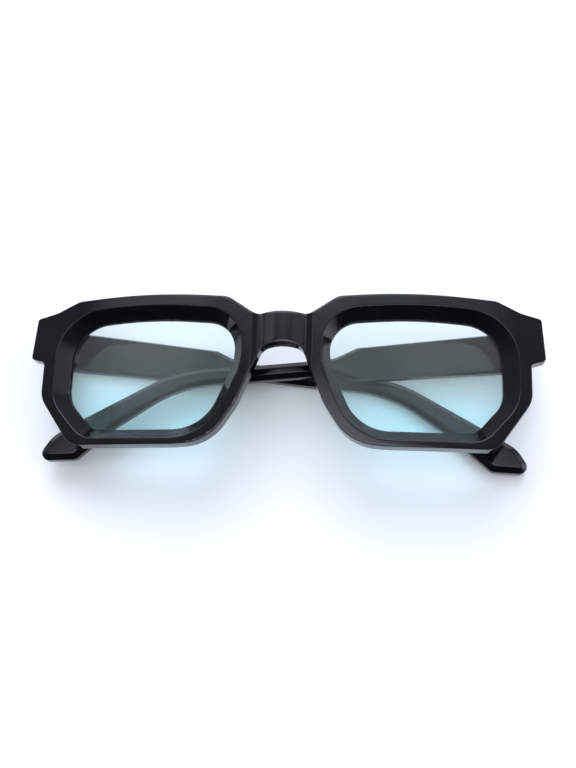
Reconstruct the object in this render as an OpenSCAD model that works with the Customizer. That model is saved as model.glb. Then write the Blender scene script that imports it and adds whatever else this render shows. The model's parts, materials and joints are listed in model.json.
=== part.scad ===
// Rectangular sunglasses with folded temples, lying on their back on the outer temple.
// X runs across the front, Y up the front towards the brow, Z up from the surface.

/* [Lenses] */
// Width of each lens opening
lens_w = 47.1; // [45:0.1:50]
// Height of each lens opening at its upper corners
lens_h = 30.4; // [28:0.2:33]
// Distance between the two lens openings
lens_gap = 26.8; // [25.8:0.2:29]
// How far the top edge of an opening bows up
lens_bow = 1.9; // [1.2:0.1:2.4]
// Width of the opening's lower outer corner cut
cut_w = 7.8; // [6:0.1:9.4]
// Height of the opening's lower outer corner cut
cut_h = 8.8; // [7:0.1:11]
// Width of the opening's long cut beside the nose
nose_cut_w = 7.9; // [7:0.1:9.4]
// Height of the opening's long cut beside the nose
nose_cut_h = 18.9; // [17:0.1:20]
// Thickness of a lens
lens_t = 1.8; // [1.4:0.1:2]
// Depth of a lens under the front's face
lens_depth = 3.3; // [3:0.1:3.5]
// Depth of the groove that holds a lens edge
groove_d = 1; // [0.6:0.1:1.2]

/* [Front] */
// Thickness of the front
front_t = 5.6; // [5.4:0.1:6.4]
// Radius of the front's curve from side to side
face_r = 426; // [350:1:600]
// Width of the rim over the lens
rim_top = 7; // [6:0.1:8]
// Width of the rim under the lens
rim_bottom = 4.8; // [4.4:0.1:6]
// Width of the rim on the temple side
rim_side = 7.1; // [6.2:0.1:8]
// Width of the bevel over the lens
bevel_top = 3.2; // [2.4:0.1:4]
// Width of the bevel under the lens
bevel_bottom = 3; // [2.4:0.1:3.6]
// Width of the bevel on the temple side
bevel_side = 4; // [3:0.1:4.6]
// Width of the bevel on the nose side
bevel_nose = 2.6; // [2:0.1:3]
// How far the brow line bows up over the lens
brow_bow = 1.5; // [0.8:0.1:2]
// Width of the rim's lower outer corner cut
corner_w = 9.7; // [7:0.1:11]
// Height of the rim's lower outer corner cut
corner_h = 13.8; // [11:0.1:17]
// Half width of the bridge between its creases
bridge_half = 6.6; // [5.6:0.1:7]
// Depth of the creases beside the bridge
crease_d = 0.9; // [0.4:0.1:1.2]
// Height of the bridge's top over the lens middle
bridge_top = 18.1; // [17:0.1:19]
// Height of the nose arch over the lens middle
arch_top = 9; // [8:0.1:10.4]
// Width of the rim beside the nose arch
rim_nose = 8; // [7.2:0.1:8.5]

/* [End pieces] */
// How far an end piece stands out past the rim
end_w = 4; // [3:0.1:4.6]
// Height of an end piece and of the temple's butt
end_h = 11.8; // [10.8:0.1:12.6]
// Thickness of an end piece at its outer edge
end_t = 4.3; // [4.1:0.05:4.8]

/* [Temples] */
// How far a folded temple's tip reaches past the other hinge pin
tip_past = 3.6; // [0:0.1:8]
// Thickness of a temple
temple_t = 4.3; // [4:0.1:4.8]
// Depth of the bevel along a temple's long edges
temple_bevel = 1.1; // [0.7:0.1:1.4]
// Width of that bevel on the wide part
wide_bevel = 0.6; // [0.4:0.1:1]
// Width of that bevel on the slim part
slim_bevel = 1.4; // [1:0.1:1.7]
// Width of that bevel round the tip
tip_bevel = 1.6; // [1.2:0.1:1.7]
// Length of the wide part, from the pin
wide_len = 44.2; // [38:0.1:50]
// Height of the wide part at its far end
wide_h = 9.8; // [8.6:0.1:10.8]
// Length of the step down to the slim part
step_len = 6.5; // [5:0.5:9]
// Height of the slim part
slim_h = 4.6; // [4.2:0.1:5.4]
// Distance of the ear bend from the pin
ear_bend = 95.1; // [90:0.1:100]
// Slope of the temple down from the hinge
droop = 5.9; // [4:0.1:8]
// Slope of the tail behind the ear bend
ear_drop = 32; // [27:0.5:36]
// Width of the tip at its widest
tip_w = 9.4; // [8.4:0.1:10.5]
// Gap between the two folded temples where they cross
fold_gap = 0.5; // [0.4:0.1:1.5]
// Width of the core wire
core_w = 1.8; // [1.2:0.1:2.2]
// Thickness of the core wire
core_t = 1; // [0.8:0.1:1.4]

/* [Hinges] */
// Height of the hinges over the lens middle
hinge_y = 11.3; // [10.4:0.1:11.7]
// Distance of the pin behind an end piece
pin_back = 3.1; // [2.9:0.1:3.6]
// Distance of a temple's inner face from the pin
pin_side = 2; // [1.9:0.1:2.4]
// Radius of the hinge barrels
barrel_r = 1.5; // [1.2:0.1:1.6]
// Height of one barrel
barrel_h = 1.6; // [1.2:0.1:1.75]
// Radius of the hinge screw
screw_r = 0.6; // [0.5:0.05:0.7]
// Radius of the screw's head
screw_head_r = 1.25; // [1:0.05:1.4]
// Thickness of the hinge plates
plate_t = 1; // [0.8:0.1:1.2]
// Length of the hinge plate on a temple
plate_len = 6; // [5:0.5:9]

/* [Nose pads] */
// How far a nose pad stands out behind the front
pad_d = 3.8; // [3:0.1:4.6]

/* [Hidden] */
$fn = 48;
big_fn = 720;
arc_steps = 6;

// Clearances
lens_play = 0.05;
butt_play = 0.15;
barrel_play = 0.06;
bore_play = 0.05;
screw_fit = 0.02;
core_play = 0.05;
plate_play = 0.02;

// Small fixed sizes
bevel_lip = 0.3;
temple_inset = 0.8;
screw_head_h = 0.7;
slot_w = 0.35;
smallest_r = 0.15;
over = 1;

// The hinge plates: width in the end piece, margins in height, and place along the temple
plate_w = 5.6;
plate_margin = 1;
temple_plate_margin = 1.8;
plate_proud = 0.3;
plate_from_butt = 0.7;

// Length of the rounded middle of each bowed edge, each way
bow_run = 10.7;
brow_run = 13.7;

// Corners of the front's outline, from the opening, the chin, the brow and the end piece
arch_crown = 0.2;
arch_drop = 1.2;
nose_bend_in = 1.6;
nose_bend_low = 8.3;
nose_foot_in = 5.4;
nose_foot_up = 0.7;
chin_start = 15.3;
end_step = 1.2;
end_slant = 0.9;
shoulder_in = 2.6;
shoulder_up = 1.5;
brow_end_in = 9.1;
brow_drop = 0.3;
brow_start = 1.9;
bridge_end_in = 5.9;
bridge_drop = 1.2;
bridge_crown = 0.1;
crease_run = 3;
facet_depth = 0.05;

// Corners of a temple's tip, from the end of the tail and its middle line
tip_from = 21.7;
tip_flare = 1.1;
tip_heel = 8.4;
tip_crest = 6.1;
tip_rise = 3.8;
toe_back = 1.4;
toe_low = 1.7;
toe_high = 0.9;
bend_r = 36;
bend_r_top = 40;
core_from_plate = 1.3;
core_from_tip = 13;

// Corners of a nose pad from the opening's inner edge, at the rim and at its back
pad_rim = [[-4.4, 2.2, 1], [-1.1, -7.8, 3], [1.9, -11.2, 1], [3.5, -9.6, 1], [0.3, 1.6, 1.4]];
pad_rear = [[-2.4, 0.6, 0.6], [0.4, -7.2, 2], [2.3, -9.4, 0.5], [3.1, -8.6, 0.5], [-0.4, 0.2, 0.7]];

// Places across the front, from its middle
lens_in = lens_gap / 2;
lens_out = lens_in + lens_w;
lens_mid = (lens_in + lens_out) / 2;
rim_out = lens_out + rim_side;
end_out = rim_out + end_w;
lens_top = lens_h / 2;
brow = lens_top + rim_top;
chin = -lens_top - rim_bottom;

// Places of the hinge, from the middle of the face
function sag(x) = face_r - sqrt(face_r * face_r - x * x);
end_back = sag(end_out) + end_t;
pin_depth = end_back + pin_back;
hinge_x = end_out - temple_inset - temple_t - pin_side;
butt_s = butt_play - pin_back;
temple_len = 2 * hinge_x + tip_past;
reach_y = max(brow + brow_bow, -chin) + over;

// Both folded temples lie level, one over the other, so the front leans by this angle
fold_tilt = asin((temple_t + fold_gap) / (2 * hinge_x));

// Outlines. A corner is [x, y, radius], and corners run anticlockwise
function at(list, i) = list[(i + len(list)) % len(list)];
function flat(corner) = [corner.x, corner.y];
function outward(a, b) = let (u = (b - a) / norm(b - a)) [u.y, -u.x];

// A round corner at c between its neighbours a and b
function arc_corner(a, c, b, r) =
    let (u = (a - c) / norm(a - c), w = (b - c) / norm(b - c),
         half = acos(u * w) / 2,
         mid = c + (u + w) / norm(u + w) * r / sin(half),
         first = c + u * r / tan(half) - mid, last = c + w * r / tan(half) - mid,
         start = atan2(first.y, first.x),
         turn = (atan2(last.y, last.x) - start + 540) % 360 - 180)
    [for (k = [0:arc_steps])
        mid + r * [cos(start + turn * k / arc_steps), sin(start + turn * k / arc_steps)]];

function outline(corners) =
    [for (i = [0:len(corners) - 1])
        each arc_corner(flat(at(corners, i - 1)), flat(corners[i]), flat(at(corners, i + 1)), corners[i][2])];

// The corners with each edge moved outwards, edge i from corner i to the next by widths[i]
function grown(corners, widths) =
    [for (i = [0:len(corners) - 1])
        let (a = flat(at(corners, i - 1)), c = flat(corners[i]), b = flat(at(corners, i + 1)),
             m = outward(a, c), n = outward(c, b), k = m * n,
             wm = at(widths, i - 1), wn = widths[i],
             p = c + m * (wm - k * wn) / (1 - k * k) + n * (wn - k * wm) / (1 - k * k),
             side = cross(c - a, b - c) > 0 ? 1 : -1)
        [p.x, p.y, max(smallest_r, corners[i][2] + side * (wm + wn) / 2)]];

function all_edges(corners, width) = [for (c = corners) width];

// The right lens opening. Its straight nose side is shared by the rounds above and below it
nose_side = lens_h - nose_cut_h;
opening = [[lens_out, lens_top, 10.8], [lens_mid, lens_top + lens_bow, bow_run * lens_w / (2 * lens_bow)],
           [lens_in, lens_top, 0.73 * nose_side], [lens_in, nose_cut_h - lens_top, 1.56 * nose_side],
           [lens_in + nose_cut_w, -lens_top, 13], [lens_out - cut_w, -lens_top, 5.3],
           [lens_out, cut_h - lens_top, 8.6]];
bevel_widths = [bevel_top, bevel_top, bevel_nose, (bevel_nose + bevel_bottom) / 2, bevel_bottom,
                (bevel_bottom + bevel_side) / 2, bevel_side];

// The right half of the front, from the nose arch round to the bridge's top
end_low = hinge_y - end_h / 2;
end_high = hinge_y + end_h / 2;
arch_half = lens_in - rim_nose;
bridge_end = lens_in - bridge_end_in;
front_right = [[arch_half, arch_top - arch_drop, 0.72 * arch_half],
               [lens_in - nose_bend_in, -nose_bend_low, 14],
               [lens_in + nose_foot_in, chin + nose_foot_up, 13.7], [lens_in + chin_start, chin, 30],
               [rim_out - corner_w, chin, 6], [rim_out, chin + corner_h, 7.6],
               [rim_out, end_low - end_step, 1.2], [end_out, end_low, 1],
               [end_out - end_slant, end_high, 1], [rim_out - shoulder_in, end_high + shoulder_up, 8],
               [rim_out - brow_end_in, brow - brow_drop, 5],
               [lens_mid, brow + brow_bow, brow_run * lens_w / (2 * brow_bow + brow_drop)],
               [lens_in + brow_start, brow, 5], [bridge_end, bridge_top - bridge_drop, 4]];
front_half_count = len(front_right);
front_outline = concat([[0, arch_top + arch_crown, 2.3 * arch_half]], front_right,
                       [[0, bridge_top + bridge_crown, 3.5 * bridge_end]],
                       [for (i = [1:front_half_count])
                           let (c = front_right[front_half_count - i]) [-c.x, c.y, c[2]]]);

// A temple: s along X from the pin, the height along Y
function middle(s) = hinge_y - s * tan(droop);
bend = [ear_bend, middle(ear_bend)];
tail_dir = [cos(ear_drop), -sin(ear_drop)];
tail_up = [sin(ear_drop), cos(ear_drop)];
tail_len = (temple_len - ear_bend) / cos(ear_drop);
function bend_point(h) =
    bend + h / cos((ear_drop - droop) / 2) * [sin((ear_drop + droop) / 2), cos((ear_drop + droop) / 2)];
function tail(q, h, r) = let (p = bend + q * tail_dir + h * tail_up) [p.x, p.y, r];
function corner(p, r) = [p.x, p.y, r];
step_end = wide_len + step_len;
temple_corners = [[butt_s, end_low, 1.1], [wide_len, middle(wide_len) - wide_h / 2, 6],
                  [step_end, middle(step_end) - slim_h / 2, 6], corner(bend_point(-slim_h / 2), bend_r),
                  tail(tail_len - tip_from, -slim_h / 2 - tip_flare, 16),
                  tail(tail_len - tip_heel, tip_rise - tip_w, 3.5),
                  tail(tail_len - toe_back, -toe_low, 1.6), tail(tail_len, toe_high, 2.2),
                  tail(tail_len - tip_crest, tip_rise, 9), corner(bend_point(slim_h / 2), bend_r_top),
                  [step_end, middle(step_end) + slim_h / 2, 5],
                  [wide_len, middle(wide_len) + wide_h / 2, 3], [butt_s, end_high, 1.1]];
// The bevel runs along every edge but the butt, which meets the end piece
step_bevel = (wide_bevel + slim_bevel) / 2;
temple_bevels = [wide_bevel, step_bevel, slim_bevel, slim_bevel, tip_bevel, tip_bevel, tip_bevel, tip_bevel,
                 slim_bevel, slim_bevel, step_bevel, wide_bevel, 0];

// The core wire's middle line
core_start = butt_s + plate_from_butt + plate_len + core_from_plate;
core_path = [[core_start, middle(core_start)], bend, flat(tail(tail_len - core_from_tip, 0, 0))];
core_line = concat([core_path[0]], arc_corner(core_path[0], core_path[1], core_path[2], bend_r), [core_path[2]]);

// A strip of the given width along a line of points
function strip(line, width) =
    let (last = len(line) - 1,
         side = [for (i = [0:last]) outward(line[max(0, i - 1)], line[min(last, i + 1)])])
    concat([for (i = [0:last]) line[i] + side[i] * width / 2],
           [for (i = [0:last]) line[last - i] - side[last - i] * width / 2]);

// Where the origin lies: under the middle of the whole, on the surface
front_high = max([for (p = outline(front_outline)) p.y]);
temple_low = min([for (p = outline(temple_corners)) p.y]);
shift_x = -sin(fold_tilt) * (end_back + sag(end_out)) / 2;
shift_y = -(front_high + temple_low) / 2;
lift = temple_t + pin_side + hinge_x * sin(fold_tilt) + pin_depth * cos(fold_tilt);
function pin_place(side) =
    [side * hinge_x * cos(fold_tilt) + pin_depth * sin(fold_tilt) + shift_x, shift_y,
     side * hinge_x * sin(fold_tilt) - pin_depth * cos(fold_tilt) + lift];

// Puts the front's own frame, with its face at z = 0, where the folded pair lies
module placed() {
    translate([shift_x, shift_y, lift])
        rotate([0, -fold_tilt, 0])
            children();
}

// Draws its children on the right side, or mirrored on the left
module on_side(side) {
    if (side > 0) children();
    else mirror([1, 0, 0]) children();
}

// Puts a hinge or temple at its pin, the temple's length along X towards the other side
module at_pin(side) {
    translate(pin_place(side))
        on_side(-side)
            children();
}

// A bent sheet that follows the face between two depths under it
module face_shell(near, far) {
    translate([0, 0, -face_r])
        rotate([90, 0, 0])
            difference() {
                cylinder(r = face_r - near, h = 2 * reach_y, center = true, $fn = big_fn);
                cylinder(r = face_r - far, h = 2 * reach_y + over, center = true, $fn = big_fn);
            }
}

// The middle of a lens lies square to the face there, so the opening's walls do too
module at_lens() {
    translate([lens_mid, 0, -sag(lens_mid)])
        rotate([0, asin(lens_mid / face_r), 0])
            translate([-lens_mid, 0, 0])
                children();
}

// A straight extrusion of an outline from the given depth to just over the face
module through(corners, depth) {
    translate([0, 0, -depth])
        linear_extrude(depth + over)
            polygon(outline(corners));
}

// The walls between rings of points, each ring with n points. Faces run clockwise from outside
function ring_walls(n, rings) =
    [for (k = [0:rings - 2], i = [0:n - 1], half = [0, 1])
        let (j = (i + 1) % n)
        half == 0 ? [k * n + i, (k + 1) * n + j, k * n + j] : [k * n + i, (k + 1) * n + i, (k + 1) * n + j]];

// Triangles across a ring, as rungs between its first half and its second
function rungs(n) =
    [for (i = [0:floor(n / 2) - 1])
        each [for (t = [[i, i + 1, n - 1 - i], [i + 1, n - 2 - i, n - 1 - i]]) if (t[0] < t[1] && t[1] < t[2]) t]];

// A closed solid through rings of points
module rings_solid(rings) {
    n = len(rings[0]);
    last = (len(rings) - 1) * n;
    polyhedron(
        points = [for (ring = rings) each ring],
        faces = concat(rungs(n), [for (t = rungs(n)) [last + t[2], last + t[1], last + t[0]]],
                       ring_walls(n, len(rings))),
        convexity = 6);
}

// What a lens opening cuts away: a slope from the face down to its edge, then straight through
module opening_cut() {
    low = lens_depth - bevel_lip;
    rings = [for (height = [-end_back, -low, over])
        [for (p = outline(grown(opening, [for (w = bevel_widths) w * max(0, low + height) / low])))
            [p.x, p.y, height - sag(p.x - lens_mid)]]];
    rings_solid(rings);
}

// A plate with both long faces bevelled to a depth, by its own width at each edge
module bevelled_plate(corners, bevels, thickness, bevel) {
    full = outline(corners);
    small = outline(grown(corners, -bevels));
    rings_solid([[for (p = small) [p.x, p.y, 0]], [for (p = full) [p.x, p.y, bevel]],
                 [for (p = full) [p.x, p.y, thickness - bevel]], [for (p = small) [p.x, p.y, thickness]]]);
}

// What is cut away in front of the bridge: a crease each side and a round facet between them
module bridge_cut() {
    facet_r = (bridge_half * bridge_half + crease_d * crease_d) / (2 * crease_d);
    facet_turn = asin(bridge_half / facet_r);
    facet = [for (k = [-arc_steps:arc_steps])
        let (angle = facet_turn * k / arc_steps)
        [facet_r * sin(angle), facet_r * (cos(angle) - 1) - sag(bridge_half) - facet_depth]];
    translate([0, brow, 0])
        rotate([90, 0, 0])
            linear_extrude(brow - chin)
                polygon(concat([[-bridge_half - crease_run, over]], facet, [[bridge_half + crease_run, over]]));
}

module front_frame() {
    color([0.06, 0.06, 0.07])
        placed()
            difference() {
                intersection() {
                    through(front_outline, sag(end_out) + front_t + over);
                    face_shell(0, front_t);
                }
                bridge_cut();
                for (side = [-1, 1])
                    on_side(side) {
                        at_lens() opening_cut();
                        intersection() {
                            at_lens() through(grown(opening, all_edges(opening, groove_d)), end_back);
                            face_shell(lens_depth - lens_play, lens_depth + lens_t + lens_play);
                        }
                        // The flat back of the end piece, and the seat of the hinge plate in it
                        translate([lens_mid, -reach_y, -end_back - front_t])
                            cube([end_out + over - lens_mid, 2 * reach_y, front_t]);
                        translate([hinge_x, hinge_y, -end_back])
                            front_plate(plate_play);
                    }
            }
}

module lens(side) {
    color([0.62, 0.86, 0.9, 0.5])
        placed()
            on_side(side)
                intersection() {
                    at_lens() through(grown(opening, all_edges(opening, groove_d - lens_play)), end_back);
                    face_shell(lens_depth, lens_depth + lens_t);
                }
}

// A wedge behind the nose side of the rim, wider at the front than at the back
module nose_pad(side) {
    pad_back = front_t + sag(lens_in) + pad_d;
    color([0.06, 0.06, 0.07])
        placed()
            on_side(side)
                difference() {
                    rings_solid([[for (p = outline(pad_rear)) [lens_in + p.x, p.y, -pad_back]],
                                 [for (p = outline(pad_rim)) [lens_in + p.x, p.y, -front_t + over]]]);
                    face_shell(-over, front_t);
                }
}

// The hinge plate in the end piece, from the end piece's back inwards
module front_plate(play) {
    translate([-plate_w / 2 - play, plate_margin - end_h / 2 - play, -play])
        cube([plate_w + 2 * play, end_h - 2 * plate_margin + 2 * play, plate_t + 2 * play]);
}

// The hinge plate on the temple, sunk in its inner face
module temple_plate(play) {
    translate([butt_s + plate_from_butt - play, temple_plate_margin - end_h / 2 - play,
               plate_proud - pin_side - plate_t - play])
        cube([plate_len + 2 * play, end_h - 2 * temple_plate_margin + 2 * play, plate_t + 2 * play]);
}

hinge_h = 5 * barrel_h + 4 * barrel_play;
function barrel_y(k) = k * (barrel_h + barrel_play) - hinge_h / 2;

// Barrels round the pin, each on a web that reaches to its plate along Z
module barrels(numbers, web, bore) {
    for (k = numbers)
        translate([0, barrel_y(k) + barrel_h, 0])
            rotate([90, 0, 0])
                difference() {
                    union() {
                        cylinder(r = barrel_r, h = barrel_h);
                        translate([-barrel_r, min(0, web), 0])
                            cube([2 * barrel_r, abs(web), barrel_h]);
                    }
                    translate([0, 0, -over])
                        cylinder(r = bore, h = barrel_h + 2 * over);
                }
}

module hinge_front_leaf(side) {
    color([0.72, 0.72, 0.74])
        placed()
            on_side(side)
                translate([hinge_x, hinge_y, -pin_depth]) {
                    barrels([0, 2, 4], pin_back + plate_t / 2, screw_r + screw_fit);
                    translate([0, 0, pin_back])
                        front_plate(0);
                }
}

module hinge_temple_leaf(side) {
    color([0.72, 0.72, 0.74])
        at_pin(side)
            translate([0, hinge_y, 0]) {
                barrels([1, 3], plate_proud - pin_side - plate_t / 2, screw_r + bore_play);
                temple_plate(0);
            }
}

module hinge_screw(side) {
    color([0.6, 0.6, 0.62])
        placed()
            on_side(side)
                translate([hinge_x, hinge_y - hinge_h / 2, -pin_depth])
                    rotate([-90, 0, 0])
                        difference() {
                            union() {
                                cylinder(r = screw_r, h = hinge_h + screw_head_h / 2);
                                translate([0, 0, hinge_h])
                                    cylinder(r = screw_head_r, h = screw_head_h);
                            }
                            translate([-screw_head_r, -slot_w / 2, hinge_h + screw_head_h / 2])
                                cube([2 * screw_head_r, slot_w, screw_head_h]);
                        }
}

module core_strip(play) {
    translate([0, 0, -pin_side - temple_t / 2 - core_t / 2 - play])
        linear_extrude(core_t + 2 * play)
            polygon(strip(core_line, core_w + 2 * play));
}

module temple(side) {
    color([0.06, 0.06, 0.07])
        at_pin(side)
            difference() {
                translate([0, 0, -pin_side - temple_t])
                    bevelled_plate(temple_corners, temple_bevels, temple_t, temple_bevel);
                translate([0, hinge_y, 0])
                    temple_plate(plate_play);
                core_strip(core_play);
            }
}

module temple_core(side) {
    color([0.7, 0.7, 0.66])
        at_pin(side)
            core_strip(0);
}

front_frame();
lens(-1);  // lens_left
lens(1);  // lens_right
nose_pad(-1);  // nose_pad_left
nose_pad(1);  // nose_pad_right
temple(-1);  // temple_left
temple(1);  // temple_right
temple_core(-1);  // temple_core_left
temple_core(1);  // temple_core_right
hinge_front_leaf(-1);  // hinge_front_leaf_left
hinge_front_leaf(1);  // hinge_front_leaf_right
hinge_temple_leaf(-1);  // hinge_temple_leaf_left
hinge_temple_leaf(1);  // hinge_temple_leaf_right
hinge_screw(-1);  // hinge_screw_left
hinge_screw(1);  // hinge_screw_right
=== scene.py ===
"""Rectangular acetate sunglasses, folded and lying on their back on a white surface."""
import json
import math

import bmesh
import bpy
from mathutils import Matrix, Vector


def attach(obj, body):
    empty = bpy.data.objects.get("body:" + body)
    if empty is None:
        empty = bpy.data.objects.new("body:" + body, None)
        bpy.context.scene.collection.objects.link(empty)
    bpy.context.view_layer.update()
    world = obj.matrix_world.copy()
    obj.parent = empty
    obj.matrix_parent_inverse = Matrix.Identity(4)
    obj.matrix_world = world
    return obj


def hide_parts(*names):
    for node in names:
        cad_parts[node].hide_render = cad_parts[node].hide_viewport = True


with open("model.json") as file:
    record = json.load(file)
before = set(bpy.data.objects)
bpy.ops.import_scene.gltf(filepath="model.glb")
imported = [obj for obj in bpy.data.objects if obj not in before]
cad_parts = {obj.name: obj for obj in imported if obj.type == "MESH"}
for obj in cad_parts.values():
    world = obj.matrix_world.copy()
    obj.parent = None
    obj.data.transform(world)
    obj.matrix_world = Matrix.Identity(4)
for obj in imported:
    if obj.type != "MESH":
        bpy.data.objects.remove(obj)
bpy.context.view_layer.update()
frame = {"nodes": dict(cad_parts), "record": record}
nodes = frame["nodes"]
pins = {joint["child"]: Vector(joint["pos_m"]) for joint in frame["record"]["behaviour"]["joints"]}

# Sizes are in millimetres, and a piece is made in millimetres before it is put in its place
MM = 0.001

# The lens openings and the lenses
LENS_W = 47.1
LENS_H = 30.4
LENS_BOW = 1.9
BOW_RUN = 10.7
LENS_GAP = 26.8
CUT_W, CUT_H = 7.8, 8.8
NOSE_CUT_W, NOSE_CUT_H = 7.9, 18.9
LENS_T = 1.8
LENS_DEPTH = 3.3
LENS_PLAY = 0.05
GROOVE_D = 1.0
BEVEL_LIP = 0.3

# The front: its thickness, its curve from side to side and its rims
FRONT_T = 5.6
FACE_R = 426.0
RIM_TOP, RIM_BOTTOM, RIM_SIDE, RIM_NOSE = 7.0, 4.8, 7.1, 8.0
BEVEL_TOP, BEVEL_BOTTOM, BEVEL_SIDE, BEVEL_NOSE = 3.2, 3.0, 4.0, 2.6
BROW_BOW, BROW_RUN = 1.5, 13.7
CORNER_W, CORNER_H = 9.7, 13.8
BRIDGE_HALF, BRIDGE_TOP, ARCH_TOP = 6.6, 18.1, 9.0
CREASE_D, CREASE_RUN, CREASE_OVER, FACET_DEPTH = 0.9, 3.0, 1.0, 0.05
END_W, END_H, END_T = 4.0, 11.8, 4.3

# Corners of the front's outline, from the opening, the chin, the brow and the end piece
ARCH_CROWN, ARCH_DROP = 0.2, 1.2
NOSE_BEND_IN, NOSE_BEND_LOW = 1.6, 8.3
NOSE_FOOT_IN, NOSE_FOOT_UP = 5.4, 0.7
CHIN_START = 15.3
END_STEP, END_SLANT = 1.2, 0.9
SHOULDER_IN, SHOULDER_UP = 2.6, 1.5
BROW_END_IN, BROW_DROP, BROW_START = 9.1, 0.3, 1.9
BRIDGE_END_IN, BRIDGE_DROP, BRIDGE_CROWN = 5.9, 1.2, 0.1

# The hinges and the temples
HINGE_Y = 11.3
HINGE_X = 64.5
PIN_BACK, PIN_SIDE = 3.1, 2.0
BUTT_PLAY, PLATE_PLAY = 0.15, 0.02
PLATE_T, PLATE_W, PLATE_LEN = 1.0, 5.6, 6.0
PLATE_MARGIN, TEMPLE_PLATE_MARGIN = 1.0, 1.8
PLATE_PROUD, PLATE_FROM_BUTT = 0.3, 0.7
TEMPLE_T = 4.3
TEMPLE_BEVEL, WIDE_BEVEL, SLIM_BEVEL, TIP_BEVEL = 1.1, 0.6, 1.4, 1.6
WIDE_LEN, WIDE_H = 44.2, 9.8
STEP_LEN, SLIM_H = 6.5, 4.6
EAR_BEND, DROOP, EAR_DROP = 95.1, math.radians(5.9), math.radians(32)
BEND_R, BEND_R_TOP = 36.0, 40.0

# A temple's tip: how far it runs past the other hinge, its width, and its corners from its end and
# its middle line
TIP_PAST, TIP_W = 3.6, 9.4
TIP_FROM, TIP_FLARE = 21.7, 1.1
TIP_HEEL, TIP_CREST, TIP_RISE = 8.4, 6.1, 3.8
TOE_BACK, TOE_LOW, TOE_HIGH = 1.4, 1.7, 0.9

# Corners of a nose pad from the opening's inner edge, at the rim and at its back
PAD_RIM = [(-4.4, 2.2, 1), (-1.1, -7.8, 3), (1.9, -11.2, 1), (3.5, -9.6, 1), (0.3, 1.6, 1.4)]
PAD_REAR = [(-2.4, 0.6, 0.6), (0.4, -7.2, 2), (2.3, -9.4, 0.5), (3.1, -8.6, 0.5), (-0.4, 0.2, 0.7)]
PAD_D = 3.8

# How far tumbling and buffing have rounded the edges, and how much of a pad's depth they have reached
EDGE_ROUND = 0.28
LIP_ROUND = 0.12
BACK_ROUND = 1.2
RIM_BACK_ROUND = 0.2
TEMPLE_ROUND = 0.22
CREASE_SOFT = 1.1
GROOVE_ROUND = 0.04
LENS_ROUND = 0.1
PAD_ROUND = 0.9
PAD_ROUND_SHARE = 0.4

# Where the tint of the lenses, partly painted shade, is strongest and weakest along the frame's Y, and how
# much it clouds
TINT_LOW, TINT_HIGH = -16.0, 10.0
TINT_CLOUD = 0.05

# How finely round shapes are drawn, and up to which angle an edge is shaded smooth
ARC_STEPS = 12
EDGE_STEPS = 4
CREASE_SAMPLES = 8
STRIP = 2.0
BRIDGE_STRIP = 0.4
SMALLEST_R = 0.15
SMOOTH_ANGLE = math.radians(40)

# How far a section runs on over the flat beside its corner, and how near counts as the same place
FRONT_RUN_ON = 0.5
LENS_RUN_ON = 0.3
TEMPLE_RUN_ON = 0.3
NEAR = 0.001

# The values between which a noise mostly keeps
NOISE_LOW, NOISE_HIGH = 0.3, 0.7

# The camera: a 50 mm lens, tipped towards the lower rims and turned a little to the right
CAMERA_DISTANCE = 0.300
CAMERA_YAW = math.radians(3.7)
CAMERA_TIP = math.radians(16.4)
CAMERA_ROLL = math.radians(2.0)
CAMERA_TARGET = Vector((0.0012, -0.0002, 0.0107))
CAMERA_LENS = 50.2

# The surface it lies on, and how much of its white doesn't depend on the light
FLOOR_SIZE = 3.0
FLOOR_GLOW = 0.13

# The studio: a dim room, darker towards the lower rims, and soft lights, each with the way to it,
# its level, and the angles from its middle at which it starts to fade and ends
ROOM_LEVEL = 0.25
ROOM_SLOPE = Vector((0.0, 0.25, 0.0))
ROOM_DARKEST = 0.05
BROW_BOX = (Vector((-0.1, 0.9, 0.85)), 5.2, math.radians(10), math.radians(30))
OVERHEAD = (Vector((-0.06, -0.02, 1.0)), 3.1, math.radians(13), math.radians(20))
RIGHT_WALL = (Vector((0.93, 0.1, 0.3)), 2.0, math.radians(10), math.radians(42))
LEFT_STRIP = (Vector((-0.40, 0.36, 0.84)), 1.0, math.radians(1), math.radians(9))
RIGHT_STRIP = (Vector((0.20, 0.36, 0.91)), 0.6, math.radians(1), math.radians(10))


# Places across the front, from its middle, and the hinge's place behind its face
def sag(x):
    """How far the front's curve falls at a distance from its middle."""
    return FACE_R - math.sqrt(FACE_R ** 2 - x ** 2)


lens_in = LENS_GAP / 2
lens_out = lens_in + LENS_W
lens_mid = (lens_in + lens_out) / 2
lens_top = LENS_H / 2
rim_out = lens_out + RIM_SIDE
end_out = rim_out + END_W
brow = lens_top + RIM_TOP
chin = -lens_top - RIM_BOTTOM
end_low = HINGE_Y - END_H / 2
end_high = HINGE_Y + END_H / 2
end_back = sag(end_out) + END_T
pin_depth = end_back + PIN_BACK

# How the front leans over the two folded temples, and where the middle of its face lies
pin_line = pins["right_temple"] - pins["left_temple"]
pin_middle = (pins["right_temple"] + pins["left_temple"]) / 2
lean = math.atan2(pin_line.z, pin_line.x)
front_across = Vector((math.cos(lean), 0, math.sin(lean)))
front_out = Vector((-math.sin(lean), 0, math.cos(lean)))
face_middle = pin_middle + (front_out * pin_depth - Vector((0, HINGE_Y, 0))) * MM


def lay_front(x, y, z):
    """A point of the front, with its face at z = 0, where the folded pair lies."""
    return face_middle + (front_across * x + Vector((0, y, 0)) + front_out * z) * MM


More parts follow.
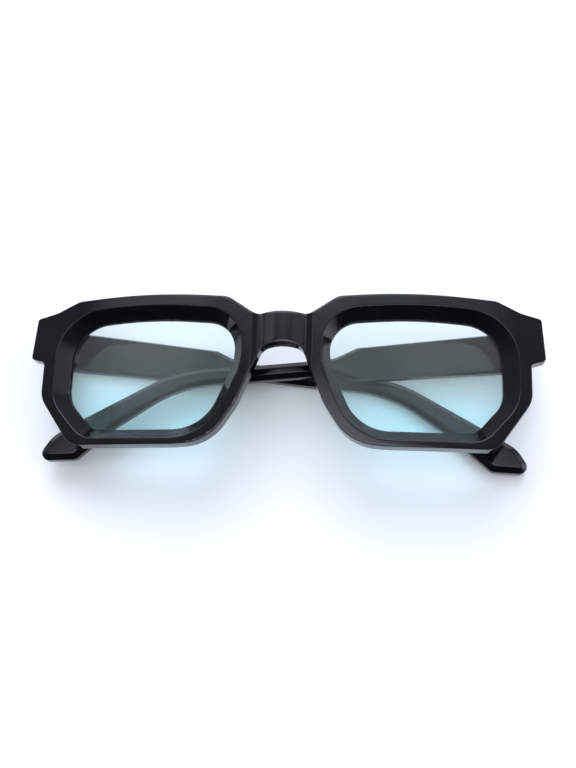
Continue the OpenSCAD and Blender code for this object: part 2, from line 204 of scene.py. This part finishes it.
# Outlines. A corner is (x, y, radius), and corners run anticlockwise
def corner_arc(before, corner, after, radius, steps):
    """The points of a round corner, or points along the line where the line doesn't turn."""
    to_before = (before - corner).normalized()
    to_after = (after - corner).normalized()
    if (to_before + to_after).length < NEAR:
        return [corner + to_after * radius * (step / steps - 0.5) for step in range(steps + 1)]
    half = to_before.angle(to_after) / 2
    middle = corner + (to_before + to_after).normalized() * radius / math.sin(half)
    first = corner + to_before * radius / math.tan(half) - middle
    last = corner + to_after * radius / math.tan(half) - middle
    start = math.atan2(first.y, first.x)
    turn = (math.atan2(last.y, last.x) - start + 3 * math.pi) % (2 * math.pi) - math.pi
    angles = [start + turn * step / steps for step in range(steps + 1)]
    return [middle + radius * Vector((math.cos(angle), math.sin(angle))) for angle in angles]


def around(items):
    """Each item with the one before it and the one after it, round a closed list."""
    return zip(items[-1:] + items[:-1], items, items[1:] + items[:1])


def outline(corners):
    """The points of a closed outline with its corners rounded."""
    points = []
    for before, corner, after in around(corners):
        places = [Vector(c[:2]) for c in (before, corner, after)]
        points += corner_arc(*places, corner[2], ARC_STEPS)
    return points


def outward(start, end):
    """The direction square to an edge, away from the outline."""
    along = (end - start).normalized()
    return Vector((along.y, -along.x))


def grown(corners, widths):
    """The corners with each edge moved outwards, the edge after a corner by that corner's width."""
    moved = []
    for (before, corner, after), (width_in, width_out, _) in zip(around(corners), around(widths)):
        a, c, b = [Vector(place[:2]) for place in (before, corner, after)]
        m, n = outward(a, c), outward(c, b)
        k = m.dot(n)
        place = c + (m * (width_in - k * width_out) + n * (width_out - k * width_in)) / (1 - k * k)
        side = math.copysign(1, (c - a).cross(b - c))
        radius = corner[2] + side * (width_in + width_out) / 2
        moved.append((place.x, place.y, max(SMALLEST_R, radius)))
    return moved


def rounded(points, radii):
    """An open line of points with each inner corner rounded by its radius."""
    line = [Vector(points[0])]
    for before, corner, after, radius in zip(points, points[1:], points[2:], radii):
        line += corner_arc(Vector(before), Vector(corner), Vector(after), radius, EDGE_STEPS)
    return line + [Vector(points[-1])]


def rings_round(corners, sections):
    """Rings round an outline. Each edge has its own section, a line of (outwards, height) points."""
    rings = []
    for level in zip(*sections):
        points = outline(grown(corners, [point.x for point in level]))
        heights = [(before.y + point.y) / 2 for before, point, _ in around(list(level))]
        rings.append([Vector((p.x, p.y, heights[i // (ARC_STEPS + 1)])) for i, p in enumerate(points)])
    return rings


# Modelling steps, each as it is done by hand
def extruded(name, rings):
    """A circle with a vertex for each point of the first ring, extruded from ring to ring."""
    bpy.ops.object.select_all(action="DESELECT")
    bpy.ops.mesh.primitive_circle_add(vertices=len(rings[0]))
    form = bpy.context.object
    form.name = name
    bpy.ops.object.mode_set(mode="EDIT")
    bpy.ops.mesh.select_all(action="SELECT")
    move_ring(form, rings[0])
    for ring in rings[1:]:
        bpy.ops.mesh.extrude_edges_move()
        move_ring(form, ring)
    bpy.ops.object.mode_set(mode="OBJECT")
    return form


def move_ring(form, ring):
    """Puts the selected vertices on a ring's points. Each extrude keeps them in the ring's order."""
    mesh = bmesh.from_edit_mesh(form.data)
    for vertex, place in zip([v for v in mesh.verts if v.select], ring):
        vertex.co = place
    bmesh.update_edit_mesh(form.data)


def joined(forms):
    """One object from several."""
    bpy.ops.object.select_all(action="DESELECT")
    for form in forms:
        form.select_set(True)
    bpy.context.view_layer.objects.active = forms[0]
    bpy.ops.object.join()
    return forms[0]


def close_level(form, height, fill):
    """Fills between the open edges that lie at one height."""
    close_open_edges(form, lambda place: abs(place.z - height) < NEAR, fill)


def close_ring(form, ring):
    """Fills an open end that lies on a ring's points."""
    points = {place.to_tuple(3) for place in ring}
    close_open_edges(form, lambda place: place.to_tuple(3) in points, bpy.ops.mesh.edge_face_add)


def close_open_edges(form, belongs, fill):
    """Selects the open edges whose two ends belong, and fills between them."""
    bpy.context.view_layer.objects.active = form
    bpy.ops.object.mode_set(mode="EDIT")
    bpy.ops.mesh.select_all(action="DESELECT")
    mesh = bmesh.from_edit_mesh(form.data)
    for edge in mesh.edges:
        if edge.is_boundary and all(belongs(v.co) for v in edge.verts):
            edge.select_set(True)
    bmesh.update_edit_mesh(form.data)
    fill()
    bpy.ops.object.mode_set(mode="OBJECT")


def cut_in_strips(form, places):
    """Cuts a flat form across at each place along X, so that it can follow a curve."""
    bpy.context.view_layer.objects.active = form
    bpy.ops.object.mode_set(mode="EDIT")
    for x in places:
        bpy.ops.mesh.select_all(action="SELECT")
        bpy.ops.mesh.bisect(plane_co=(x, 0, 0), plane_no=(1, 0, 0), threshold=NEAR)
    bpy.ops.object.mode_set(mode="OBJECT")


def put_in_place(form, place):
    """Moves each vertex from the form's own millimetres to its place in the frame, in metres."""
    for vertex in form.data.vertices:
        vertex.co = place(*vertex.co)
    bpy.context.view_layer.objects.active = form
    turn_faces_out()


def turn_faces_out():
    """Makes every face of the active object look outwards."""
    bpy.ops.object.mode_set(mode="EDIT")
    bpy.ops.mesh.select_all(action="SELECT")
    bpy.ops.mesh.normals_make_consistent(inside=False)
    bpy.ops.object.mode_set(mode="OBJECT")


def seat(form, low, high, place):
    """Cuts a box-shaped seat for a hinge plate."""
    bpy.ops.object.select_all(action="DESELECT")
    bpy.ops.mesh.primitive_cube_add(size=1)
    cutter = bpy.context.object
    for vertex in cutter.data.vertices:
        vertex.co = place(*[high[i] if vertex.co[i] > 0 else low[i] for i in range(3)])
    turn_faces_out()
    cut = form.modifiers.new("seat", "BOOLEAN")
    cut.operation = "DIFFERENCE"
    cut.solver = "EXACT"
    cut.object = cutter
    bpy.context.view_layer.objects.active = form
    bpy.ops.object.modifier_apply(modifier=cut.name)
    bpy.data.objects.remove(cutter)


def finish_piece(form, material, body, slot, *replaced):
    """Shades a piece smooth over its rounded edges, dresses it and hands it to its body."""
    bpy.ops.object.select_all(action="DESELECT")
    form.select_set(True)
    bpy.context.view_layer.objects.active = form
    bpy.ops.object.shade_smooth_by_angle(angle=SMOOTH_ANGLE)
    even = form.modifiers.new("even normals", "WEIGHTED_NORMAL")
    even.keep_sharp = True
    bpy.ops.object.modifier_apply(modifier=even.name)
    form.data.materials.clear()
    form.data.materials.append(material)
    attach(form, body)
    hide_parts(*replaced)


# Materials
def linear(hex_colour):
    """An sRGB hex colour as linear red, green, blue and full alpha."""
    channels = [int(hex_colour[i:i + 2], 16) / 255 for i in (1, 3, 5)]
    return [c / 12.92 if c <= 0.04045 else ((c + 0.055) / 1.055) ** 2.4 for c in channels] + [1.0]


def add_node(tree, kind, links=(), **values):
    """Adds a shader node. values set its sockets by name or its own settings, links feed its sockets."""
    node = tree.nodes.new(kind)
    for name, value in values.items():
        socket = node.inputs.get(name.replace("_", " "))
        if socket is None:
            setattr(node, name, value)
        else:
            socket.default_value = value
    for socket, source in links:
        tree.links.new(source, node.inputs[socket])
    return node


def new_material(name):
    """An empty material, its node tree and its output node."""
    material = bpy.data.materials.new(name)
    material.use_nodes = True
    tree = material.node_tree
    tree.nodes.clear()
    return material, tree, tree.nodes.new("ShaderNodeOutputMaterial")


def pattern(tree, size, detail=2.0, stretch=(1, 1, 1)):
    """A noise fixed to the piece, with features of a size in millimetres, times the stretch of each axis."""
    place = add_node(tree, "ShaderNodeTexCoord")
    scaled = add_node(tree, "ShaderNodeMapping", [("Vector", place.outputs["Object"])],
                      Scale=[1 / (size * MM * longer) for longer in stretch])
    noise = add_node(tree, "ShaderNodeTexNoise", [("Vector", scaled.outputs[0])],
                     Scale=1.0, Detail=detail)
    return noise.outputs[0]


def between(tree, value, low, high):
    """A noise, which mostly keeps to its middle, spread between two values."""
    spread = add_node(tree, "ShaderNodeMapRange", [("Value", value)],
                      From_Min=NOISE_LOW, From_Max=NOISE_HIGH, To_Min=low, To_Max=high)
    return spread.outputs[0]


def blend(tree, value, low_colour, high_colour):
    """A colour between two hex colours, chosen by a value from 0 to 1."""
    ramp = add_node(tree, "ShaderNodeValToRGB", [(0, value)])
    ramp.color_ramp.elements[0].color = linear(low_colour)
    ramp.color_ramp.elements[1].color = linear(high_colour)
    return ramp.outputs[0]


def raised(tree, value, height):
    """Small bumps of a height in millimetres."""
    bump = add_node(tree, "ShaderNodeBump", [("Height", value)], Strength=1.0, Distance=height * MM)
    return bump.outputs[0]


def seen_by(tree, *rays):
    """1 for the named kinds of ray, and 0 for all others."""
    path = add_node(tree, "ShaderNodeLightPath")
    seen = path.outputs[rays[0]]
    for ray in rays[1:]:
        either = add_node(tree, "ShaderNodeMath", [(0, seen), (1, path.outputs[ray])],
                          operation="MAXIMUM")
        seen = either.outputs[0]
    return seen


def black_acetate():
    """Cellulose acetate, milled, tumbled in wood chips and buffed.

    The eye gets near black with a deep clear gloss. Buffing leaves it faintly wavy and a little
    uneven in sharpness, and the dye clouds a little from place to place.
    """
    material, tree, output = new_material("black_cellulose_acetate")
    dye = between(tree, pattern(tree, size=7.0, detail=3.0), 0, 1)
    buffing = pattern(tree, size=2.2, detail=4.0)
    wave = pattern(tree, size=9.0, detail=1.0)
    shader = add_node(tree, "ShaderNodeBsdfPrincipled",
                      [("Base Color", blend(tree, dye, "#0a0a0c", "#111115")),
                       ("Roughness", between(tree, buffing, 0.035, 0.085)),
                       ("Normal", raised(tree, wave, height=0.012))],
                      IOR=1.48)
    tree.links.new(shader.outputs[0], output.inputs["Surface"])
    return material


def aqua_lens():
    """A moulded sheet lens, dip-dyed aqua.

    The eye gets a clear pale blue-green that is stronger towards the lower rim, partly as painted
    shade for the shadow on the table seen through the lens there, with a clean reflection on both
    of its faces. Light on its way to the table passes the lens as a plain tint.
    """
    material, tree, output = new_material("aqua_lens_with_painted_shade")
    place = add_node(tree, "ShaderNodeTexCoord")
    parts = add_node(tree, "ShaderNodeSeparateXYZ", [(0, place.outputs["Object"])])
    # The tint grows stronger towards the lower rim; this darkening is partly painted shade for the shadowed
    # table seen through the lens
    faded = add_node(tree, "ShaderNodeMapRange", [("Value", parts.outputs["Y"])],
                     interpolation_type="SMOOTHSTEP",
                     From_Min=TINT_LOW * MM, From_Max=TINT_HIGH * MM)
    cloud = between(tree, pattern(tree, size=12.0), -TINT_CLOUD, TINT_CLOUD)
    tint_with_painted_shade = add_node(tree, "ShaderNodeMath", [(0, faded.outputs[0]), (1, cloud)], operation="ADD")
    shader = add_node(tree, "ShaderNodeBsdfPrincipled",
                      [("Base Color", blend(tree, tint_with_painted_shade.outputs[0], "#daf9fd", "#f2ffff"))],
                      Roughness=0.0, IOR=1.5, Transmission_Weight=1.0)
    clear = add_node(tree, "ShaderNodeBsdfTransparent", Color=linear("#d0e6ec"))
    mix = add_node(tree, "ShaderNodeMixShader",
                   [(0, seen_by(tree, "Is Shadow Ray")), (1, shader.outputs[0]), (2, clear.outputs[0])])
    tree.links.new(mix.outputs[0], output.inputs["Surface"])
    return material


def bare_metal(name, size, stretch, low_colour, high_colour, roughness, height):
    """A metal whose colour, sharpness and fine relief follow the marks that were left on it."""
    material, tree, output = new_material(name)
    lines = pattern(tree, size, detail=4.0, stretch=stretch)
    shader = add_node(tree, "ShaderNodeBsdfPrincipled",
                      [("Base Color", blend(tree, lines, low_colour, high_colour)),
                       ("Roughness", between(tree, lines, *roughness)),
                       ("Normal", raised(tree, lines, height))],
                      Metallic=1.0)
    tree.links.new(shader.outputs[0], output.inputs["Surface"])
    return material


def nickel_silver():
    """Nickel silver sheet, stamped and tumbled for the hinge leaves.

    The eye gets a soft grey-white metal with fine tumbling marks that spread its highlights.
    """
    material, tree, output = new_material("tumbled_nickel_silver")
    marks = pattern(tree, size=0.25, detail=5.0)
    tarnish = between(tree, pattern(tree, size=2.5), 0, 1)
    shader = add_node(tree, "ShaderNodeBsdfPrincipled",
                      [("Base Color", blend(tree, tarnish, "#aca79b", "#cdc9be")),
                       ("Roughness", between(tree, marks, 0.24, 0.42)),
                       ("Normal", raised(tree, marks, height=0.006))],
                      Metallic=1.0)
    tree.links.new(shader.outputs[0], output.inputs["Surface"])
    return material


def drawn_wire():
    """Nickel silver wire, drawn and rolled flat for the temple cores: long fine lines along it."""
    return bare_metal("drawn_nickel_silver_wire", size=0.3, stretch=(12, 1, 1),
                      low_colour="#9d988b", high_colour="#c4bfb2", roughness=(0.2, 0.38), height=0.004)


def turned_steel():
    """Stainless steel, turned for the hinge screws: fine rings round the pin and a hard, cold glint."""
    return bare_metal("turned_stainless_steel", size=0.6, stretch=(1, 0.15, 1),
                      low_colour="#a8aaae", high_colour="#c6c8cc", roughness=(0.16, 0.3), height=0.003)


acetate = black_acetate()
tinted = aqua_lens()
leaf_metal = nickel_silver()
core_metal = drawn_wire()
screw_metal = turned_steel()

# The right lens opening, and how wide its bevel is along each edge. The two rounds beside the
# straight nose side follow its length
nose_side = LENS_H - NOSE_CUT_H
opening = [(lens_out, lens_top, 10.8),
           (lens_mid, lens_top + LENS_BOW, BOW_RUN * LENS_W / (2 * LENS_BOW)),
           (lens_in, lens_top, 0.73 * nose_side),
           (lens_in, NOSE_CUT_H - lens_top, 1.56 * nose_side),
           (lens_in + NOSE_CUT_W, -lens_top, 13),
           (lens_out - CUT_W, -lens_top, 5.3),
           (lens_out, CUT_H - lens_top, 8.6)]
bevel_widths = [BEVEL_TOP, BEVEL_TOP, BEVEL_NOSE, (BEVEL_NOSE + BEVEL_BOTTOM) / 2, BEVEL_BOTTOM,
                (BEVEL_BOTTOM + BEVEL_SIDE) / 2, BEVEL_SIDE]

# The right half of the front, from the nose arch round to the bridge's top
arch_half = lens_in - RIM_NOSE
bridge_end = lens_in - BRIDGE_END_IN
front_right = [(arch_half, ARCH_TOP - ARCH_DROP, 0.72 * arch_half),
               (lens_in - NOSE_BEND_IN, -NOSE_BEND_LOW, 14),
               (lens_in + NOSE_FOOT_IN, chin + NOSE_FOOT_UP, 13.7),
               (lens_in + CHIN_START, chin, 30),
               (rim_out - CORNER_W, chin, 6),
               (rim_out, chin + CORNER_H, 7.6),
               (rim_out, end_low - END_STEP, 1.2),
               (end_out, end_low, 1),
               (end_out - END_SLANT, end_high, 1),
               (rim_out - SHOULDER_IN, end_high + SHOULDER_UP, 8),
               (rim_out - BROW_END_IN, brow - BROW_DROP, 5),
               (lens_mid, brow + BROW_BOW, BROW_RUN * LENS_W / (2 * BROW_BOW + BROW_DROP)),
               (lens_in + BROW_START, brow, 5),
               (bridge_end, BRIDGE_TOP - BRIDGE_DROP, 4)]
arch_crown = (0, ARCH_TOP + ARCH_CROWN, 2.3 * arch_half)
bridge_crown = (0, BRIDGE_TOP + BRIDGE_CROWN, 3.5 * bridge_end)
front_left = [(-x, y, radius) for x, y, radius in reversed(front_right)]
front_outline = [arch_crown] + front_right + [bridge_crown] + front_left


def sharp_face(x):
    """The height of the face before its creases are softened: the curve, or the bridge's facet."""
    facet_r = (BRIDGE_HALF ** 2 + CREASE_D ** 2) / (2 * CREASE_D)
    facet_top = -sag(BRIDGE_HALF) - FACET_DEPTH
    x = abs(x)
    if x < BRIDGE_HALF:
        return facet_top + math.sqrt(facet_r ** 2 - x ** 2) - facet_r
    crease_low = facet_top - CREASE_D
    wall = crease_low + (x - BRIDGE_HALF) * (CREASE_OVER - crease_low) / CREASE_RUN
    return min(-sag(x), wall)


def face_height(x):
    """The height of the face, with its creases softened by buffing."""
    if abs(x) > BRIDGE_HALF + CREASE_RUN + CREASE_SOFT:
        return -sag(x)
    steps = range(-CREASE_SAMPLES, CREASE_SAMPLES + 1)
    return sum(sharp_face(x + CREASE_SOFT * step / CREASE_SAMPLES) for step in steps) / len(steps)


def back_height(x):
    """The height of the front's back: its curve, cut flat behind the end pieces."""
    return max(-end_back, -FACE_R + math.sqrt((FACE_R - FRONT_T) ** 2 - x ** 2))


def on_front(x, y, depth):
    """A point between the face, depth 0, and the back, depth -FRONT_T."""
    face = face_height(x)
    return lay_front(x, y, face + depth / FRONT_T * (face - back_height(x)))


def from_lens(x, y, height):
    """A point of the lens's own frame, square to the face at the lens's middle, in the front's."""
    turn = math.asin(lens_mid / FACE_R)
    across = x - lens_mid
    up = height - sag(across)
    return (across * math.cos(turn) + up * math.sin(turn) + lens_mid, y,
            up * math.cos(turn) - across * math.sin(turn) - sag(lens_mid))


def opening_ring(ring, side):
    """A ring of the opening as depths under the flat face, so that it can be filled there."""
    flat = []
    for point in ring:
        x, y, z = from_lens(*point)
        depth = (z + sag(x)) * FRONT_T / (-sag(x) - back_height(x))
        if abs(point.z) < NEAR:
            depth = 0
        elif point.z < NEAR - FRONT_T:
            depth = -FRONT_T
        flat.append(Vector((side * x, y, depth)))
    return flat


def rim_section(bevel):
    """The section of a rim round its opening: the bevel, the lip, the lens groove and the back."""
    groove_top = LENS_PLAY - LENS_DEPTH
    groove_low = -LENS_DEPTH - LENS_T - LENS_PLAY
    return rounded([(bevel + FRONT_RUN_ON, 0), (bevel, 0), (0, BEVEL_LIP - LENS_DEPTH),
                    (0, groove_top), (GROOVE_D, groove_top), (GROOVE_D, groove_low), (0, groove_low),
                    (0, -FRONT_T), (FRONT_RUN_ON, -FRONT_T)],
                   [EDGE_ROUND, LIP_ROUND] + [GROOVE_ROUND] * 4 + [RIM_BACK_ROUND])


def strip_places():
    """Where the front is cut across: finely over the bridge, and more widely over the rims."""
    fine = int((BRIDGE_HALF + CREASE_RUN) / BRIDGE_STRIP)
    half = [step * BRIDGE_STRIP for step in range(1, fine)]
    x = half[-1] + STRIP
    while x < end_out:
        half.append(x)
        x += STRIP
    return [0] + half + [-place for place in half]


def make_front():
    """The front: one plate of acetate, with its bevelled openings, lens grooves and rounded edges."""
    section = rounded([(-BACK_ROUND - FRONT_RUN_ON, -FRONT_T), (0, -FRONT_T), (0, 0),
                       (-EDGE_ROUND - FRONT_RUN_ON, 0)],
                      [BACK_ROUND, EDGE_ROUND])
    forms = [extruded("front_rims", rings_round(front_outline, [section] * len(front_outline)))]
    sections = [rim_section(width) for width in bevel_widths]
    for side in (-1, 1):
        rings = [opening_ring(ring, side) for ring in rings_round(opening, sections)]
        forms.append(extruded("opening", rings))
    front = joined(forms)
    close_level(front, 0, bpy.ops.mesh.fill)
    close_level(front, -FRONT_T, bpy.ops.mesh.fill)
    cut_in_strips(front, strip_places())
    put_in_place(front, on_front)
    for side in (-1, 1):
        inner = side * HINGE_X - PLATE_W / 2 - PLATE_PLAY
        outer = side * HINGE_X + PLATE_W / 2 + PLATE_PLAY
        seat(front, (inner, end_low + PLATE_MARGIN - PLATE_PLAY, -end_back - FRONT_T),
             (outer, end_high - PLATE_MARGIN + PLATE_PLAY, -end_back + PLATE_T + PLATE_PLAY),
             lay_front)
    finish_piece(front, acetate, "front", "black_acetate", "front_frame")


def make_lens(side, word):
    """A lens: a tinted sheet that follows the front's curve, with its edge in the groove."""
    reach = GROOVE_D - LENS_PLAY
    back = -LENS_DEPTH - LENS_T
    section = rounded([(reach - LENS_RUN_ON, back), (reach, back), (reach, -LENS_DEPTH),
                       (reach - LENS_RUN_ON, -LENS_DEPTH)], [LENS_ROUND, LENS_ROUND])
    sheet = extruded("lens_sheet_" + word, rings_round(opening, [section] * len(opening)))
    for height in (back, -LENS_DEPTH):
        close_level(sheet, height, bpy.ops.mesh.edge_face_add)
    cuts = int(LENS_W / STRIP) + 1
    cut_in_strips(sheet, [lens_in + step * STRIP for step in range(cuts)])

    def place(x, y, height):
        x, y, z = from_lens(x, y, height)
        return lay_front(side * x, y, z)

    put_in_place(sheet, place)
    finish_piece(sheet, tinted, "front", "aqua_lens", "lens_" + word)


# A temple: its length along X from the pin, its height along Y and its thickness along Z
def middle_line(s):
    """The height of a temple's middle line."""
    return HINGE_Y - s * math.tan(DROOP)


bend = Vector((EAR_BEND, middle_line(EAR_BEND)))
tail_len = (2 * HINGE_X + TIP_PAST - EAR_BEND) / math.cos(EAR_DROP)


def bend_corner(height, radius):
    """The corner at the ear bend, at a height over the middle line."""
    reach = height / math.cos((EAR_DROP - DROOP) / 2)
    turn = (EAR_DROP + DROOP) / 2
    return (bend.x + reach * math.sin(turn), bend.y + reach * math.cos(turn), radius)


def tail(back, up, radius):
    """A corner of the tail, from its end and its middle line."""
    along = tail_len - back
    return (bend.x + along * math.cos(EAR_DROP) + up * math.sin(EAR_DROP),
            bend.y - along * math.sin(EAR_DROP) + up * math.cos(EAR_DROP), radius)


butt = BUTT_PLAY - PIN_BACK
step_end = WIDE_LEN + STEP_LEN
temple_corners = [(butt, end_low, 1.1),
                  (WIDE_LEN, middle_line(WIDE_LEN) - WIDE_H / 2, 6),
                  (step_end, middle_line(step_end) - SLIM_H / 2, 6),
                  bend_corner(-SLIM_H / 2, BEND_R),
                  tail(TIP_FROM, -SLIM_H / 2 - TIP_FLARE, 16),
                  tail(TIP_HEEL, TIP_RISE - TIP_W, 3.5),
                  tail(TOE_BACK, -TOE_LOW, 1.6),
                  tail(0, TOE_HIGH, 2.2),
                  tail(TIP_CREST, TIP_RISE, 9),
                  bend_corner(SLIM_H / 2, BEND_R_TOP),
                  (step_end, middle_line(step_end) + SLIM_H / 2, 5),
                  (WIDE_LEN, middle_line(WIDE_LEN) + WIDE_H / 2, 3),
                  (butt, end_high, 1.1)]

# The bevel runs along every edge but the butt, which meets the end piece
step_bevel = (WIDE_BEVEL + SLIM_BEVEL) / 2
temple_bevels = [WIDE_BEVEL, step_bevel, SLIM_BEVEL, SLIM_BEVEL,
                 TIP_BEVEL, TIP_BEVEL, TIP_BEVEL, TIP_BEVEL,
                 SLIM_BEVEL, SLIM_BEVEL, step_bevel, WIDE_BEVEL, 0]


def make_temple(side, word):
    """A temple: one bar of acetate, bevelled along its long edges and round its tip."""
    outer = -PIN_SIDE - TEMPLE_T
    inner = -PIN_SIDE
    sections = []
    for width in temple_bevels:
        flat = -width - TEMPLE_RUN_ON
        sections.append(rounded([(flat, outer), (-width, outer), (0, outer + TEMPLE_BEVEL),
                                 (0, inner - TEMPLE_BEVEL), (-width, inner), (flat, inner)],
                                [TEMPLE_ROUND] * 4))
    bar = extruded("temple_bar_" + word, rings_round(temple_corners, sections))
    close_level(bar, outer, bpy.ops.mesh.edge_face_add)
    close_level(bar, inner, bpy.ops.mesh.edge_face_add)
    pin = pins[word + "_temple"] - Vector((0, HINGE_Y, 0)) * MM

    def place(s, y, z):
        return pin + Vector((-side * s, y, z)) * MM

    put_in_place(bar, place)
    start = butt + PLATE_FROM_BUTT
    seat(bar, (start - PLATE_PLAY, end_low + TEMPLE_PLATE_MARGIN - PLATE_PLAY,
               inner + PLATE_PROUD - PLATE_T - PLATE_PLAY),
         (start + PLATE_LEN + PLATE_PLAY, end_high - TEMPLE_PLATE_MARGIN + PLATE_PLAY,
          inner + PLATE_T), place)
    finish_piece(bar, acetate, word + "_temple", "black_acetate", "temple_" + word)


def make_nose_pad(side, word):
    """A nose pad: a wedge of acetate on the back of the rim, its rear edge buffed round."""
    rim = outline([(lens_in + x, y, radius) for x, y, radius in PAD_RIM])
    rear_corners = [(lens_in + x, y, radius) for x, y, radius in PAD_REAR]
    rear = outline(rear_corners)
    root = -FRONT_T - sag(lens_in)
    rear_height = root - PAD_D
    straight = 1 - PAD_ROUND_SHARE
    rings = []
    for share in (0.0, straight / 2, straight):
        rings.append([Vector((*a.lerp(b, share), back_height(a.x) * (1 - share) + rear_height * share))
                      for a, b in zip(rim, rear)])
    round_height = PAD_ROUND_SHARE * (root - rear_height)
    for step in range(1, EDGE_STEPS + 1):
        turn = math.pi / 2 * step / EDGE_STEPS
        inset = PAD_ROUND * (1 - math.cos(turn))
        share = straight + PAD_ROUND_SHARE * math.sin(turn)
        shrunk = outline(grown(rear_corners, [-inset] * len(rear_corners)))
        rings.append([Vector((*a.lerp(b, share), rear_height + round_height * (1 - math.sin(turn))))
                      for a, b in zip(rim, shrunk)])
    pad = extruded("nose_bump_" + word, rings)
    for ends in (rings[-1], rings[0]):
        close_ring(pad, ends)

    def place(x, y, z):
        return lay_front(side * x, y, z)

    put_in_place(pad, place)
    finish_piece(pad, acetate, "front", "black_acetate", "nose_pad_" + word)


def dress(node_name, material):
    """Puts a material on one of the CAD's own pieces."""
    for material_slot in nodes[node_name].material_slots:
        material_slot.material = material


make_front()
for side, word in ((-1, "left"), (1, "right")):
    make_lens(side, word)
    make_nose_pad(side, word)
    make_temple(side, word)
for word in ("left", "right"):
    dress("hinge_front_leaf_" + word, leaf_metal)
    dress("hinge_temple_leaf_" + word, leaf_metal)
    dress("hinge_screw_" + word, screw_metal)
    dress("temple_core_" + word, core_metal)


def make_floor():
    """White paper. Part of its white is its own, so that it is white round the pair's soft shadow."""
    bpy.ops.object.select_all(action="DESELECT")
    bpy.ops.mesh.primitive_plane_add(size=FLOOR_SIZE)
    floor = bpy.context.object
    floor.name = "floor"
    material, tree, output = new_material("white_paper")
    paper = add_node(tree, "ShaderNodeBsdfDiffuse", Color=linear("#fafafa"))
    glow = add_node(tree, "ShaderNodeEmission", Color=linear("#ffffff"), Strength=FLOOR_GLOW)
    both = add_node(tree, "ShaderNodeAddShader", [(0, paper.outputs[0]), (1, glow.outputs[0])])
    seen = seen_by(tree, "Is Camera Ray", "Is Glossy Ray", "Is Transmission Ray")
    mix = add_node(tree, "ShaderNodeMixShader", [(0, seen), (1, paper.outputs[0]), (2, both.outputs[0])])
    tree.links.new(mix.outputs[0], output.inputs["Surface"])
    floor.data.materials.append(material)


def make_camera():
    """The camera, turned to its target from its distance and then rolled."""
    back = Vector((math.sin(CAMERA_YAW) * math.cos(CAMERA_TIP), -math.sin(CAMERA_TIP),
                   math.cos(CAMERA_YAW) * math.cos(CAMERA_TIP)))
    right = Vector((0, 1, 0)).cross(back).normalized()
    facing = Matrix((right, back.cross(right), back)).transposed().to_4x4()
    turn = facing @ Matrix.Rotation(CAMERA_ROLL, 4, "Z")
    camera = bpy.data.objects.new("camera", bpy.data.cameras.new("camera"))
    bpy.context.scene.collection.objects.link(camera)
    camera.data.lens = CAMERA_LENS
    camera.matrix_world = Matrix.Translation(CAMERA_TARGET + back * CAMERA_DISTANCE) @ turn
    bpy.context.scene.camera = camera


def make_light():
    """A dim room with a soft box beyond the brow, one overhead, a bright wall on the right and two strips.

    In its place the camera sees plain white, also through the lenses.
    """
    world = bpy.data.worlds.new("studio")
    bpy.context.scene.world = world
    world.use_nodes = True
    tree = world.node_tree
    background = tree.nodes["Background"]
    way = add_node(tree, "ShaderNodeTexCoord").outputs["Generated"]
    slope = add_node(tree, "ShaderNodeVectorMath", [(0, way)], operation="DOT_PRODUCT")
    slope.inputs[1].default_value = ROOM_SLOPE
    room = add_node(tree, "ShaderNodeMath", [(0, slope.outputs["Value"])], operation="ADD")
    room.inputs[1].default_value = ROOM_LEVEL
    level = add_node(tree, "ShaderNodeMath", [(0, room.outputs[0])], operation="MAXIMUM")
    level.inputs[1].default_value = ROOM_DARKEST
    for place, brightness, inner, outer in (BROW_BOX, OVERHEAD, RIGHT_WALL, LEFT_STRIP, RIGHT_STRIP):
        toward = add_node(tree, "ShaderNodeVectorMath", [(0, way)], operation="DOT_PRODUCT")
        toward.inputs[1].default_value = place.normalized()
        glow = add_node(tree, "ShaderNodeMapRange", [("Value", toward.outputs["Value"])],
                        interpolation_type="SMOOTHSTEP",
                        From_Min=math.cos(outer), From_Max=math.cos(inner),
                        To_Min=0, To_Max=brightness)
        level = add_node(tree, "ShaderNodeMath", [(0, level.outputs[0]), (1, glow.outputs[0])],
                         operation="ADD")
    seen = seen_by(tree, "Is Camera Ray", "Is Transmission Ray")
    level = add_node(tree, "ShaderNodeMix", [("Factor", seen), ("A", level.outputs[0])], B=1.0)
    tree.links.new(level.outputs[0], background.inputs["Strength"])
    tree.links.new(blend(tree, seen, "#ebf0ff", "#ffffff"), background.inputs["Color"])


make_floor()
make_camera()
make_light()
bpy.context.scene.view_settings.view_transform = "Standard"
